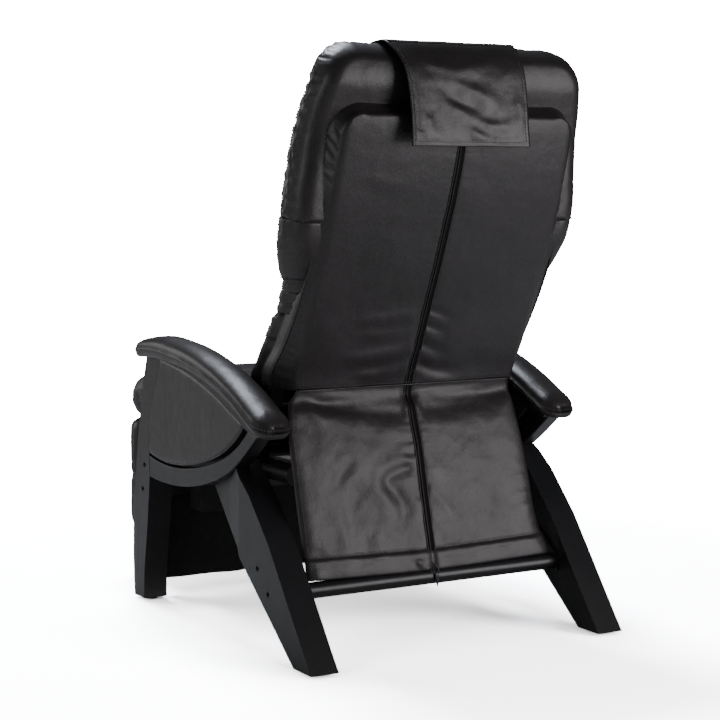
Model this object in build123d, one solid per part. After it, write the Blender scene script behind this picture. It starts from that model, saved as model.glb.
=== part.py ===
from build123d import *
import os
from math import cos, radians, sin, tan

# Zero gravity recliner, upright. Millimetres, +Z up, the sitter faces -Y.
# The origin is on the floor under the middle of the chair's box.

# Driving dimensions
ARM_OUTER = 365.0            # half the width over the arm pads
ARM_INNER = 288.0            # inner side of an arm pad
FRAME_OUTER = 350.0          # outer face of the wooden side frames
FRONT_LEG_INNER = 298.0
REAR_LEG_INNER = 292.0
RAIL_INNER = 318.0           # inner face of the curved arm rail
GLIDE_HEIGHT = 6.0
TOP_HEIGHT = 1137.0          # floor to the top of the pillow strap
PIVOT = (120.0, 400.0)       # recline pivot, (y, z)
RECLINE_ANGLE = 40.0
LEGREST_HINGE = (-441.0, 322.0)
LEGREST_ANGLE = 80.0
CUSHION_HALF = 278.0         # half width of the lower back
SHOULDER_HALF = 310.0        # half width of the shoulder cushion
SHOULDER_DEPTH = 84.0
SEAT_HALF = 270.0
LEGREST_HALF = 256.0
SEAT_RAIL_OUTER = 258.0
BACK_RAIL_OUTER = 265.0
PLATE = 4.0                  # thickness of the steel pivot plates
PIN_RADIUS = 8.0
RUNNING = 0.05               # radial play of a pin or rod in its bore
WALL = 1.6                   # wall of the steel tubes

os.makedirs("parts", exist_ok=True)


def outline(*points):
    """A closed straight-sided outline in (y, z)."""
    return make_face(Polyline(*points, close=True))


def curved(*edges):
    """A closed outline whose sides are point lists; three or more points are a smooth curve."""
    sides = []
    for number, points in enumerate(edges):
        start_of_next = edges[(number + 1) % len(edges)][0]
        sides.append(Spline(*points) if len(points) > 2 else Line(*points))
        if points[-1] != start_of_next:
            sides.append(Line(points[-1], start_of_next))
    return make_face(sides)


def shrunk(points, centre, factor):
    """A point list drawn in towards a centre."""
    return [tuple(c + (value - c) * factor for value, c in zip(point, centre)) for point in points]


def slab(face, x_from, x_to):
    """A (y, z) outline made solid between two x stations."""
    return extrude(Plane.YZ.offset(x_from) * face, amount=x_to - x_from)


def rod_x(yz, radius, x_from, x_to):
    """A round bar along X."""
    return slab(Pos(*yz) * Circle(radius), x_from, x_to)


def ring_x(yz, outer, inner, x_from, x_to):
    return rod_x(yz, outer, x_from, x_to) - rod_x(yz, inner, x_from, x_to)


def rod_y(x, z, radius, y_from, y_to):
    """A round bar along Y."""
    bar = Cylinder(radius, y_to - y_from, align=(Align.CENTER, Align.CENTER, Align.MIN))
    return Pos(x, y_from, z) * Rot(-90, 0, 0) * bar


def block(x_range, y_range, z_range):
    size = [high - low for low, high in (x_range, y_range, z_range)]
    centre = [(high + low) / 2 for low, high in (x_range, y_range, z_range)]
    return Pos(*centre) * Box(*size)


def other_side(solid):
    return mirror(solid, about=Plane.YZ)


def both_sides(*solids):
    """The given +X solids with their mirror images."""
    return list(solids) + [other_side(solid) for solid in solids]


def soften(solid, radius, sides=Axis.X):
    """Round the two end outlines of a padded solid."""
    ends = solid.faces().sort_by(sides)
    return fillet(ends[0].edges() + ends[-1].edges(), radius)


def save(node, *solids):
    flat = []
    for solid in solids:
        flat.extend(solid.solids())
    export_step(Compound(label=node, children=flat), f"parts/{node}.step")


def save_pair(node, solid):
    save(f"{node}_l", solid)
    save(f"{node}_r", other_side(solid))


# Lines shared by the parts of a side frame, each a list of (y, z)
LEG_REAR_EDGE = [(-223, GLIDE_HEIGHT), (-220, 79), (-209, 147), (-201, 208), (-194, 268)]
LEG_UPPER_EDGE = [(-196, 330), (-189, 394), (-164, 444), (-140, 506)]
RAIL_LOWER = [(-194, 268), (-116, 265), (-10, 274), (77, 294), (175, 334), (230, 371), (279, 410)]
RAIL_UPPER = [(-196, 312), (-116, 303), (-47, 306), (42, 321), (117, 342), (189, 376), (240, 416)]
PANEL_TOP = [(-140, 506), (-61, 497), (12, 485), (72, 471), (131, 454), (179, 437), (240, 416)]
PAD_UNDERSIDE = [(-250, 517), (-137, 515), (-9, 505), (73, 490), (147, 470), (218, 444), (290, 419)]


def make_front_leg():
    front = [(-271, GLIDE_HEIGHT), (-277, 135), (-269, 234), (-253, 333), (-234, 428), (-207, 516)]
    top = [(-207, 516), (-140, 515)]
    face = curved(front, top, LEG_UPPER_EDGE[::-1], LEG_REAR_EDGE[::-1])
    leg = slab(face, FRONT_LEG_INNER, FRAME_OUTER)
    for bolt in FRONT_BOLTS:
        leg -= rod_x(bolt, BOLT_RADIUS, FRONT_LEG_INNER, FRAME_OUTER)
        leg -= rod_x(bolt, HEAD_RADIUS, FRAME_OUTER - HEAD_DEPTH, FRAME_OUTER)
    return leg


def make_rear_leg():
    """A raked leg whose top is bevelled inward so that it tucks in behind the arm rail."""
    face = outline((12, 291), (199, 188), (207, 172), (420, GLIDE_HEIGHT), (486, GLIDE_HEIGHT),
                   (403, 112), (325, 214), (247, 295), (173, 350))
    leg = slab(face, REAR_LEG_INNER, FRAME_OUTER)
    bevel = make_face(Polyline((360, 205), (FRAME_OUTER, 205), (307, 5), (360, 5), close=True))
    leg -= Pos(0, 0, 150) * extrude(bevel, amount=300)
    for bolt in REAR_BOLTS:
        leg -= rod_x(bolt, BOLT_RADIUS, REAR_LEG_INNER, FRAME_OUTER)
        leg -= rod_x(bolt, HEAD_RADIUS, FRAME_OUTER - HEAD_DEPTH, FRAME_OUTER)
    return leg


def make_arm_pad():
    top = [(-250, 517), (-250, 532), (-222, 553), (-150, 564), (-60, 560), (30, 545), (120, 521),
           (200, 494), (262, 466), (290, 444)]
    face = curved(top, [(290, 444), (290, 419)], PAD_UNDERSIDE[::-1])
    return slab(face, ARM_INNER, ARM_OUTER)


def make_leg_bolt(centre, inner):
    """A socket screw set flush in the outer face of a leg."""
    shank = rod_x(centre, BOLT_RADIUS, inner, FRAME_OUTER - HEAD_DEPTH)
    head = rod_x(centre, HEAD_RADIUS, FRAME_OUTER - HEAD_DEPTH, FRAME_OUTER - 1.5)
    socket = Pos(*centre) * RegularPolygon(3.0, 6)
    return shank + head - slab(socket, FRAME_OUTER - 5, FRAME_OUTER)


# Side frames
BOLT_RADIUS = 3.0
HEAD_RADIUS = 5.5
HEAD_DEPTH = 7.0
FRONT_BOLTS = [(-219, 289), (-228, 238)]
REAR_BOLTS = [(281, 164), (323, 123)]

front_leg = make_front_leg()
arm_rail = slab(curved(RAIL_UPPER, RAIL_LOWER[::-1]), RAIL_INNER, FRAME_OUTER) - front_leg
save_pair("front_leg", front_leg)
save_pair("arm_rail", arm_rail)

board_face = curved(PAD_UNDERSIDE[1:], [(290, 419), (283, 408)], [(283, 408), (279, 410)],
                    [(279, 410), (240, 416)], PANEL_TOP[::-1])
arm_pad = make_arm_pad()
save_pair("arm_board", slab(board_face, 300, FRAME_OUTER) - arm_pad - front_leg)
save_pair("arm_pad", soften(arm_pad, 9))

panel_face = curved(LEG_UPPER_EDGE, PANEL_TOP, RAIL_UPPER[::-1])
side_panel = slab(panel_face, 320, 328) - front_leg
save_pair("side_panel", side_panel)
save_pair("rear_leg", make_rear_leg() - arm_rail - side_panel)

pad_face = curved(*[shrunk(edge, (10, 412), 0.94) for edge in (LEG_UPPER_EDGE, PANEL_TOP, RAIL_UPPER[::-1])])
for side, turn in (("l", lambda solid: solid), ("r", other_side)):
    outer_pad = turn(slab(pad_face, 328, 342))
    inner_pad = turn(slab(pad_face, 306, 320))
    save(f"side_pads_{side}", outer_pad, inner_pad)

bolts = [make_leg_bolt(centre, FRONT_LEG_INNER - 5) for centre in FRONT_BOLTS]
bolts += [make_leg_bolt(centre, REAR_LEG_INNER - 5) for centre in REAR_BOLTS]
save("leg_bolts", *both_sides(*bolts))

glides = []
for x, y in ((324, -247), (321, 449)):
    glide = Pos(x, y, 0) * Cylinder(14, GLIDE_HEIGHT, align=(Align.CENTER, Align.CENTER, Align.MIN))
    glides.append(chamfer(glide.faces().sort_by(Axis.Z)[0].edges(), 1.5))
save("glides", *both_sides(*glides))

# Crossbars between the side frames
REAR_BAR = (338, 125)
FRONT_BAR_Y = (-241, -211)
FRONT_BAR_Z = (222, 252)
front_inner = FRONT_LEG_INNER - 5
rear_inner = REAR_LEG_INNER - 5
front_bar = block((-front_inner, front_inner), FRONT_BAR_Y, FRONT_BAR_Z)
front_bar -= block((-front_inner, front_inner), (FRONT_BAR_Y[0] + WALL, FRONT_BAR_Y[1] - WALL),
                   (FRONT_BAR_Z[0] + WALL, FRONT_BAR_Z[1] - WALL))
save("front_crossbar", front_bar)
save("rear_crossbar", ring_x(REAR_BAR, 15.5, 15.5 - WALL, -rear_inner, rear_inner))

front_plate = slab(outline((-243, 218), (-204, 218), (-200, 302), (-236, 302)), front_inner, FRONT_LEG_INNER)
rear_plate = slab(outline((262, 168), (290, 186), (354, 138), (354, 109), (322, 104)), rear_inner, REAR_LEG_INNER)
for centre in FRONT_BOLTS:
    front_plate -= rod_x(centre, BOLT_RADIUS, front_inner, FRONT_LEG_INNER)
for centre in REAR_BOLTS:
    rear_plate -= rod_x(centre, BOLT_RADIUS, rear_inner, REAR_LEG_INNER)
save("crossbar_end_plates", *both_sides(front_plate, rear_plate))

# Recline pivots on the side frames: bracket, pin, and spacers between the plates that turn on it
pivot_bracket = slab(outline((96, 290), (182, 262), (198, 278), (140, 404), (128, 421), (112, 421), (100, 404)),
                     rear_inner - 1, REAR_LEG_INNER)
pivot_bracket -= rod_x(PIVOT, PIN_RADIUS, rear_inner - 1, REAR_LEG_INNER)
save("pivot_brackets", *both_sides(pivot_bracket))

seat_plate_x = (SEAT_RAIL_OUTER, SEAT_RAIL_OUTER + PLATE)
back_plate_x = (BACK_RAIL_OUTER, BACK_RAIL_OUTER + PLATE)
pivot_pin = rod_x(PIVOT, PIN_RADIUS, 250, REAR_LEG_INNER) + rod_x(PIVOT, 13, REAR_LEG_INNER, REAR_LEG_INNER + 5)
inner_spacer = ring_x(PIVOT, 13, PIN_RADIUS, seat_plate_x[1] + 0.4, back_plate_x[0] - 0.4)
outer_spacer = ring_x(PIVOT, 13, PIN_RADIUS, back_plate_x[1] + 0.4, rear_inner - 1)
retainer = ring_x(PIVOT, 13, PIN_RADIUS, 253, seat_plate_x[0] - 0.4)
save("pivot_pins", *both_sides(pivot_pin))
save("pivot_spacers", *both_sides(inner_spacer, outer_spacer, retainer))

# Dark cloth that closes the space between the front legs
VALANCE = {"half": 288, "y": (-250, -247), "z": (38, FRONT_BAR_Z[1])}
save("front_valance", block((-VALANCE["half"], VALANCE["half"]), VALANCE["y"], VALANCE["z"]))

# Power supply under the seat
CONTROL_BOX = {"x": (110, 250), "y": (FRONT_BAR_Y[1], -155), "z": (190, 250)}
control_box = block(CONTROL_BOX["x"], CONTROL_BOX["y"], CONTROL_BOX["z"])
control_box = fillet(control_box.edges().filter_by(Axis.Y), 6)
inlet_centre = (180, -155, 218)
inlet_size = (27, 20)
control_box -= Pos(*inlet_centre) * Box(inlet_size[0], 24, inlet_size[1])
inlet = Pos(inlet_centre[0], inlet_centre[1] - 6, inlet_centre[2]) * Box(inlet_size[0], 12, inlet_size[1])
inlet -= Pos(inlet_centre[0], inlet_centre[1] - 3, inlet_centre[2]) * Box(inlet_size[0] - 5, 8, inlet_size[1] - 5)
for offset in (-6, 0, 6):
    inlet += Pos(inlet_centre[0] + offset, inlet_centre[1] - 5, inlet_centre[2]) * Box(2, 6, 4)
save("control_box", control_box)
save("power_inlet", inlet)

# Recline actuator: fixed on the front crossbar, its pin works in a slotted lever under the back
LEVER_X = 60.0
RECLINE_ROD_Z = 300.0
recline_depth = PIVOT[1] - RECLINE_ROD_Z
recline_reach = recline_depth * tan(radians(RECLINE_ANGLE / 2))
recline_pin = (PIVOT[0] + recline_reach, RECLINE_ROD_Z)
ROD_RADIUS = 7.0
FORK_HALF = 10.0
FORK_DEPTH = 24.0             # from the pin to the bottom of the fork
LEVER_HALF = 4.0


def make_fork(x, pin_y, z, length, facing):
    """The forked end of an actuator rod with its cross pin."""
    bar = rod_y(x, z, ROD_RADIUS, *sorted((pin_y - facing * FORK_DEPTH, pin_y - facing * length)))
    ears = block((x - FORK_HALF, x + FORK_HALF),
                 sorted((pin_y - facing * (FORK_DEPTH + 8), pin_y + facing * 8)), (z - 8, z + 8))
    gap = LEVER_HALF + 0.5
    ears -= block((x - gap, x + gap), sorted((pin_y - facing * FORK_DEPTH, pin_y + facing * 9)), (z - 9, z + 9))
    return bar + ears + rod_x((pin_y, z), 4.0, x - FORK_HALF, x + FORK_HALF)


def make_housing(x, z, radius, y_from, y_to):
    """An actuator tube with a blind bore that the rod runs in."""
    tube = rod_y(x, z, radius, y_from, y_to)
    return tube - rod_y(x, z, ROD_RADIUS + RUNNING, y_from + 10, y_to)


RECLINE_TUBE = (-214.0, 46.0)
recline_housing = make_housing(LEVER_X, RECLINE_ROD_Z, 16, *RECLINE_TUBE)
save("recline_housing", recline_housing)
recline_mount = block((LEVER_X - 6, LEVER_X + 6), (-236, -216), (FRONT_BAR_Z[1], RECLINE_ROD_Z + 12))
recline_mount += block((LEVER_X - 6, LEVER_X + 6), (-216, -214), (RECLINE_ROD_Z - 12, RECLINE_ROD_Z + 12))
save("recline_mount", recline_mount)
motor = rod_y(LEVER_X, RECLINE_ROD_Z - 39, 22, -205, -95)
save("recline_motor", motor)
save("recline_rod", make_fork(LEVER_X, recline_pin[0], RECLINE_ROD_Z, 265, 1))

# Seat frame
RAIL_Z = (330.0, 355.0)
SEAT_FRONT = -400.0
rail = block((SEAT_RAIL_OUTER - 25, SEAT_RAIL_OUTER), (SEAT_FRONT, 110), RAIL_Z)
rail -= block((SEAT_RAIL_OUTER - 25 + WALL, SEAT_RAIL_OUTER - WALL), (SEAT_FRONT, 110),
              (RAIL_Z[0] + WALL, RAIL_Z[1] - WALL))
save("seat_rails", *both_sides(rail))
CROSS_TUBES = (-372.0, -150.0, 45.0)
inner_rail = SEAT_RAIL_OUTER - 25
cross_tubes = [ring_x((y, 342), 11, 11 - WALL, -inner_rail, inner_rail) for y in CROSS_TUBES]
save("seat_cross_tubes", *cross_tubes)

seat_plate = slab(outline((40, 332), (128, 332), (137, 392), (137, 404), (128, 416), (112, 416), (103, 404)),
                  *seat_plate_x)
seat_plate -= rod_x(PIVOT, PIN_RADIUS + RUNNING, *seat_plate_x)
save("seat_pivot_plates", *both_sides(seat_plate))

hy, hz = LEGREST_HINGE
hinge_arm = slab(outline((-330, 332), (-330, 354), (-400, 354), (hy - 6, hz + 15), (hy - 15, hz + 6),
                         (hy - 15, hz - 6), (hy - 6, hz - 15), (hy + 10, hz - 15)), *seat_plate_x)
hinge_arm -= rod_x(LEGREST_HINGE, PIN_RADIUS, *seat_plate_x)
save("legrest_hinge_arms", *both_sides(hinge_arm))
hinge_pin = rod_x(LEGREST_HINGE, PIN_RADIUS, 225, seat_plate_x[1]) + rod_x(LEGREST_HINGE, 12, seat_plate_x[1], 265.5)
save("legrest_hinge_pins", *both_sides(hinge_pin))

straps = []
for y in (-330, -240, -150, -60, 30):
    straps.append(block((-SEAT_RAIL_OUTER, SEAT_RAIL_OUTER), (y - 24, y + 24), (RAIL_Z[1], RAIL_Z[1] + 3)))
save("seat_straps", *straps)

seat_face = curved([(-380, 361), (-440, 361)], [(-440, 361), (-471, 372), (-478, 402), (-462, 440), (-420, 457)],
                   [(-420, 457), (-300, 452), (-150, 438), (40, 422)], [(40, 422), (68, 400)],
                   [(68, 400), (68, 370)], [(68, 370), (55, 361)])
save("seat_cushion", soften(slab(seat_face, -SEAT_HALF, SEAT_HALF), 10))

# Leg rest actuator, carried by the seat
LEGREST_X = -60.0
legrest_depth = 46.0
legrest_rod_z = hz - legrest_depth
legrest_reach = legrest_depth * tan(radians(LEGREST_ANGLE / 2))
legrest_pin_y = hy + legrest_reach
LEGREST_TUBE = (-364.0, -120.0)


def flipped(solid, y):
    """The same solid turned end for end about a plane of constant y."""
    return mirror(solid, about=Plane.XZ.offset(-y))


tube_middle = sum(LEGREST_TUBE) / 2
legrest_housing = flipped(make_housing(LEGREST_X, legrest_rod_z, 15, *LEGREST_TUBE), tube_middle)
save("legrest_housing", legrest_housing)
hanger = block((LEGREST_X - 5, LEGREST_X + 5), (-165, -135), (legrest_rod_z, RAIL_Z[0] + 4))
hanger -= rod_y(LEGREST_X, legrest_rod_z, 15, -170, -130)
hanger -= rod_x((CROSS_TUBES[1], 342), 11, LEGREST_X - 6, LEGREST_X + 6)
save("legrest_actuator_hanger", hanger)
save("legrest_motor", rod_y(LEGREST_X - 36, legrest_rod_z, 21, -190, -100))
save("legrest_rod", make_fork(LEGREST_X, legrest_pin_y, legrest_rod_z, 205, -1))

# Leg rest
TUBE_RADIUS = 11.0
BOARD_HALF = 235.0
hinge_tube = ring_x(LEGREST_HINGE, TUBE_RADIUS, PIN_RADIUS + RUNNING, -LEGREST_HALF + 1, LEGREST_HALF - 1)
save("legrest_hinge_tube", hinge_tube)
board = block((-BOARD_HALF, BOARD_HALF), (hy - 6, hy + 6), (124, hz - TUBE_RADIUS))
save("legrest_board", board)


def lever_slot(hinge, angle, near, far, half_width):
    """A slot along a lever that points down and leans back by the given angle."""
    slot = Pos(0, -(near + far) / 2) * SlotCenterToCenter(far - near, 2 * half_width, rotation=90)
    return Pos(*hinge) * Rot(0, 0, angle) * slot


legrest_lever_face = outline((hy + 6, hz - 16), (hy + 16, hz - 12), (hy + 62, hz - 48), (hy + 54, hz - 66),
                             (hy + 38, hz - 66), (hy + 6, hz - 46))
legrest_lever = slab(legrest_lever_face, LEGREST_X - LEVER_HALF, LEGREST_X + LEVER_HALF)
slot_face = lever_slot(LEGREST_HINGE, LEGREST_ANGLE / 2, 44, 61, 7.0)
legrest_lever -= slab(slot_face, LEGREST_X - 5, LEGREST_X + 5)
save("legrest_lever", legrest_lever)

pad_radius = 37.0
pad_front = hy - pad_radius
pad_rear = hy + pad_radius
pad_outline = outline((pad_front, hz), (pad_front, 136), (pad_front + 22, 108), (pad_rear - 30, 108),
                      (pad_rear, 140), (pad_rear, hz))
legrest_pad = slab(pad_outline, -LEGREST_HALF, LEGREST_HALF)
legrest_pad += rod_x(LEGREST_HINGE, pad_radius, -LEGREST_HALF, LEGREST_HALF)
legrest_pad -= board
legrest_pad -= rod_x(LEGREST_HINGE, TUBE_RADIUS, -LEGREST_HALF, LEGREST_HALF)
for pocket_y, pocket_z in ((hy + 6, (hz - 72, hz - 11)), (hy + 12, (hz - 11, hz))):
    legrest_pad -= block((LEGREST_X - 14, LEGREST_X + 14), (pocket_y, 0), pocket_z)
save("legrest_pad", legrest_pad)

# Back: everything is set off from the line of its rear cover seam, y as a function of z
SEAM_LINE = [(165, 440), (197, 510), (245, 575), (303, 667), (333, 726), (359, 802), (371, 868), (388, 974),
             (404, 1022)]


def seam_y(z):
    for (y_low, z_low), (y_high, z_high) in zip(SEAM_LINE, SEAM_LINE[1:]):
        if z <= z_high:
            break
    return y_low + (y_high - y_low) * (z - z_low) / (z_high - z_low)


def layer(front, rear, z_low, z_high):
    """An outline that follows the seam line between two set-offs from it."""
    heights = [z_low] + [z for _, z in SEAM_LINE if z_low < z < z_high] + [z_high]
    rear_side = [(seam_y(z) + rear, z) for z in heights]
    front_side = [(seam_y(z) + front, z) for z in reversed(heights)]
    return outline(*rear_side, *front_side)


TUBE = 25.0
rail_x = (BACK_RAIL_OUTER - TUBE, BACK_RAIL_OUTER)
RAIL_SPAN = (448, 1004)
back_rail = slab(layer(-TUBE, 0, *RAIL_SPAN), *rail_x)
back_rail -= slab(layer(-TUBE + WALL, -WALL, *RAIL_SPAN), rail_x[0] + WALL, rail_x[1] - WALL)
save("back_rails", *both_sides(back_rail))
back_tubes = []
for z in (462, 760, 988):
    back_tubes.append(ring_x((seam_y(z) - TUBE / 2, z), 11, 11 - WALL, -rail_x[0], rail_x[0]))
save("back_cross_tubes", *back_tubes)
back_plate = slab(outline((104, 392), (112, 384), (128, 384), (137, 394), (seam_y(448), 446), (seam_y(520), 520),
                          (seam_y(520) - TUBE, 520), (seam_y(450) - TUBE, 450), (104, 408)), *back_plate_x)
back_plate -= rod_x(PIVOT, PIN_RADIUS + RUNNING, *back_plate_x)
save("back_pivot_plates", *both_sides(back_plate))

lever_foot = 116.0
lean = radians(RECLINE_ANGLE / 2)
foot_y = PIVOT[0] + lever_foot * sin(lean)
foot_z = PIVOT[1] - lever_foot * cos(lean)
lever_top = seam_y(462) - TUBE / 2
recline_lever = slab(outline((lever_top - 12, 462), (lever_top + 12, 462), (foot_y + 14, foot_z + 8),
                             (foot_y + 6, foot_z - 6), (foot_y - 10, foot_z - 2), (foot_y - 16, foot_z + 14)),
                     LEVER_X - LEVER_HALF, LEVER_X + LEVER_HALF)
recline_lever -= rod_x((lever_top, 462), 11, LEVER_X - 5, LEVER_X + 5)
recline_lever -= slab(lever_slot(PIVOT, RECLINE_ANGLE / 2, 98, 108, 5.2), LEVER_X - 5, LEVER_X + 5)
save("recline_lever", recline_lever)

STRAP_GAP = 4.0
back_straps = []
for z in (530, 600, 670, 840, 910, 980):
    back_straps.append(slab(layer(-TUBE - 3, -TUBE, z - 20, z + 20), -rail_x[1], rail_x[1]))
save("back_straps", *back_straps)


def back_pad(depth, z_low, z_high, half):
    face = layer(-TUBE - STRAP_GAP - depth, -TUBE - STRAP_GAP, z_low, z_high)
    return soften(slab(face, -half, half), 14)


save("lumbar_cushion", back_pad(112, 456, 636, CUSHION_HALF - 3))
save("back_cushion", back_pad(88, 638, 824, 296))
save("shoulder_cushion", back_pad(SHOULDER_DEPTH, 826, 1124, SHOULDER_HALF))

REAR_PANEL_HALF = 255.0
PANEL_TOP_Z = 1004.0
rear_panel = slab(layer(0.5, 28, 487, PANEL_TOP_Z), -REAR_PANEL_HALF, REAR_PANEL_HALF)
save("rear_panel", rear_panel)
zipper = slab(layer(28, 30.5, 487, PANEL_TOP_Z - 4), -7, 7)
save("rear_zipper", zipper)

apron_face = outline((242, 484), (236, 462), (262, 425), (291, 340), (313, 260), (332, 190), (350, 141),
                     (353, 141), (336, 190), (317, 260), (295, 340), (266, 425), (240, 462), (246, 484))
save("apron", slab(apron_face, -262, 262))

# Head pillow in front of the back, flap behind it, and the strap that joins them over the top
PILLOW_HALF = 190.0
pillow_slope = 0.25          # run of the pillow's slide over its rise
pillow_low, pillow_high = 935.0, 1082.0
touch_z = 974.0              # height at which the pillow's rear comes nearest to the shoulder cushion
pillow_rear = seam_y(touch_z) - TUBE - STRAP_GAP - SHOULDER_DEPTH - 1.5 - pillow_slope * (touch_z - pillow_low)
rise = pillow_high - pillow_low
pillow_face = outline((pillow_rear, pillow_low), (pillow_rear + pillow_slope * rise, pillow_high),
                      (pillow_rear + pillow_slope * rise - 42, pillow_high + 6),
                      (pillow_rear + pillow_slope * rise / 2 - 62, pillow_low + rise / 2),
                      (pillow_rear - 42, pillow_low - 6))
save("head_pillow", slab(pillow_face, -PILLOW_HALF, PILLOW_HALF))

FLAP = {"half": 130.0, "low": (448.0, 947.0), "high": (432.0, 1080.0), "thick": 9.0}
(low_y, low_z), (high_y, high_z) = FLAP["low"], FLAP["high"]
flap_face = outline((low_y, low_z), (low_y + FLAP["thick"], low_z), (high_y + FLAP["thick"], high_z),
                    (high_y, high_z))
save("head_flap", slab(flap_face, -FLAP["half"], FLAP["half"]))
strap_face = outline((330, TOP_HEIGHT - 12), (370, TOP_HEIGHT - 3), (404, TOP_HEIGHT), (424, TOP_HEIGHT - 5),
                     (424, TOP_HEIGHT - 9), (404, TOP_HEIGHT - 4), (370, TOP_HEIGHT - 7), (330, TOP_HEIGHT - 12.8))
save("pillow_strap", slab(strap_face, -FLAP["half"], FLAP["half"]))
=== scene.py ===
import math
import bmesh
import bpy
import numpy as np
from mathutils import Matrix, Vector, noise


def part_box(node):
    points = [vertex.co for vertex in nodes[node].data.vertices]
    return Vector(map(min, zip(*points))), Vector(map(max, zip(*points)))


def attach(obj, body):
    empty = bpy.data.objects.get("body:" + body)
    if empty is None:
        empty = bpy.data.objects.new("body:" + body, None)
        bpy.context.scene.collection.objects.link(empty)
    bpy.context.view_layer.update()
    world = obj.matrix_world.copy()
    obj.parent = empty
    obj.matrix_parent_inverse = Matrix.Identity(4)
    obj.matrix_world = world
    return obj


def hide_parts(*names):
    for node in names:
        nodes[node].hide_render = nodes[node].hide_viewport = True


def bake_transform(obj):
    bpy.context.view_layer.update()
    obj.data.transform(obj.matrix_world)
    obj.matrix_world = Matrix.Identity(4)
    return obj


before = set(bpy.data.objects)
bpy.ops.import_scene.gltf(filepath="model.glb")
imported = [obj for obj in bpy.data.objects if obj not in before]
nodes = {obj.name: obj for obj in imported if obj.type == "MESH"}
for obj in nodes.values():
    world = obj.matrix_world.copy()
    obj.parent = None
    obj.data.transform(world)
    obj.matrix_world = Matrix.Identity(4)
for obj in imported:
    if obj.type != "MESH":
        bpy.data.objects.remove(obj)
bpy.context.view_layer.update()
mm = 0.001  # lengths in the dictionaries below are in millimetres
print("stage: frame loaded")


# small tools

def curve(*points):  # a smooth line through (x, value) pairs
    xs, ys = np.array(points, float).T
    slopes = np.gradient(ys, xs)

    def at(x):
        i = int(np.clip(np.searchsorted(xs, x) - 1, 0, len(xs) - 2))
        step = xs[i + 1] - xs[i]
        t = (x - xs[i]) / step
        if t < 0:
            return float(ys[i] + slopes[i] * (x - xs[i]))
        if t > 1:
            return float(ys[i + 1] + slopes[i + 1] * (x - xs[i + 1]))
        h1, h2 = 2 * t**3 - 3 * t**2 + 1, t**3 - 2 * t**2 + t
        return float(h1 * ys[i] + h2 * step * slopes[i] + (1 - h1) * ys[i + 1] + (t**3 - t**2) * step
                     * slopes[i + 1])
    return at


def mix(a, b, t):
    return a + (b - a) * t


def ripple(x, y, z, wave):  # smooth noise of one wavelength, in millimetres
    return noise.noise(Vector((x / wave, y / wave, z / wave)))


def fineBlock(cuts):  # a cube from -1 to 1 with its sides divided evenly
    bm = bmesh.new()
    bmesh.ops.create_cube(bm, size=2)
    for axis, count in enumerate(cuts):
        along = [e for e in bm.edges if abs(e.verts[0].co[axis] - e.verts[1].co[axis]) > 1]
        if count:
            bmesh.ops.subdivide_edges(bm, edges=along, cuts=count, use_grid_fill=True)
    return bm


def roundCorner(x, z, halfX, halfZ, radius):
    dx, dz = abs(x) - (halfX - radius), abs(z) - (halfZ - radius)
    if dx <= 0 or dz <= 0:
        return x, z
    scale = max(dx, dz) / math.hypot(dx, dz)
    return math.copysign(halfX - radius + dx * scale, x), math.copysign(halfZ - radius + dz * scale, z)


def insideBy(x, z, halfX, halfZ, radius):  # distance in from a rounded rectangle's edge
    dx, dz = abs(x) - (halfX - radius), abs(z) - (halfZ - radius)
    if dx > 0 and dz > 0:
        return max(0, radius - math.hypot(dx, dz))
    return max(0, min(halfX - abs(x), halfZ - abs(z)))


def rounding(radius, inset):  # how far a rounded edge falls away, inset from its rim
    return radius - math.sqrt(max(0, radius**2 - max(0, radius - inset)**2))


def cushion(size, place):  # a crowned block with rounded edges, put in place by place(x, depth, z)
    halfX, halfDepth, halfZ = size["half"]
    bm, marks = fineBlock(size["cuts"]), []
    for v in bm.verts:
        u, w, h = v.co
        corner = size["corner"] if h > 0 else size.get("lowCorner", size["corner"])
        x, z = roundCorner(u * halfX, h * halfZ, halfX, halfZ, corner)
        t = insideBy(x, z, halfX, halfZ, corner)
        edge = size["edge"]
        if abs(w) > 0.999:
            join = size.get("join", edge) if h < 0 or "topJoin" in size else edge
            end = halfZ - abs(z)
            lift = rounding(edge, max(t, min(edge, halfX - abs(x))) if join < edge else t)
            if join < edge:
                lift = max(lift, rounding(join, end))
            crown = size.get("frontCrown" if w < 0 else "crown", size.get("crown", 0))
            crown *= (1 - (x / halfX)**2) * (1 - (z / halfZ)**2)
            depth = math.copysign(halfDepth - lift + crown, w)
            rim = max(0, 1 - t / edge)
        else:
            rolled = abs(u) > 0.999 or "join" not in size or (h > 0 and "topJoin" not in size)
            depth, rim = w * (halfDepth - (edge if rolled else size["join"])), 1
            x *= 1 + size.get("bulge", 0) * (1 - w * w) / halfX
        v.co = Vector(place(x, depth, z)) * mm
        marks.append((x, depth, z, rim))
    return bm, marks


def push(bm, amount):  # moves each point along its normal by amount(x, y, z, normal) millimetres
    bm.normal_update()
    moves = [v.normal * amount(*(v.co / mm), v.normal) * mm for v in bm.verts]
    for v, move in zip(bm.verts, moves):
        v.co += move


def eased(a, b, x):
    t = min(1, max(0, (x - a) / (b - a)))
    return t * t * (3 - 2 * t)


def smoothPath(path, parts=6):  # a Catmull-Rom line through the path's points
    p = np.array([path[0], *path, path[-1]], float)
    line = []
    for i in range(1, len(p) - 2):
        for t in np.arange(parts) / parts:
            line.append(0.5 * (2 * p[i] + (p[i + 1] - p[i - 1]) * t
                               + (2 * p[i - 1] - 5 * p[i] + 4 * p[i + 1] - p[i + 2]) * t * t
                               + (3 * p[i] - p[i - 1] - 3 * p[i + 1] + p[i + 2]) * t**3))
    return np.array(line + [p[-2]])


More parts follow.
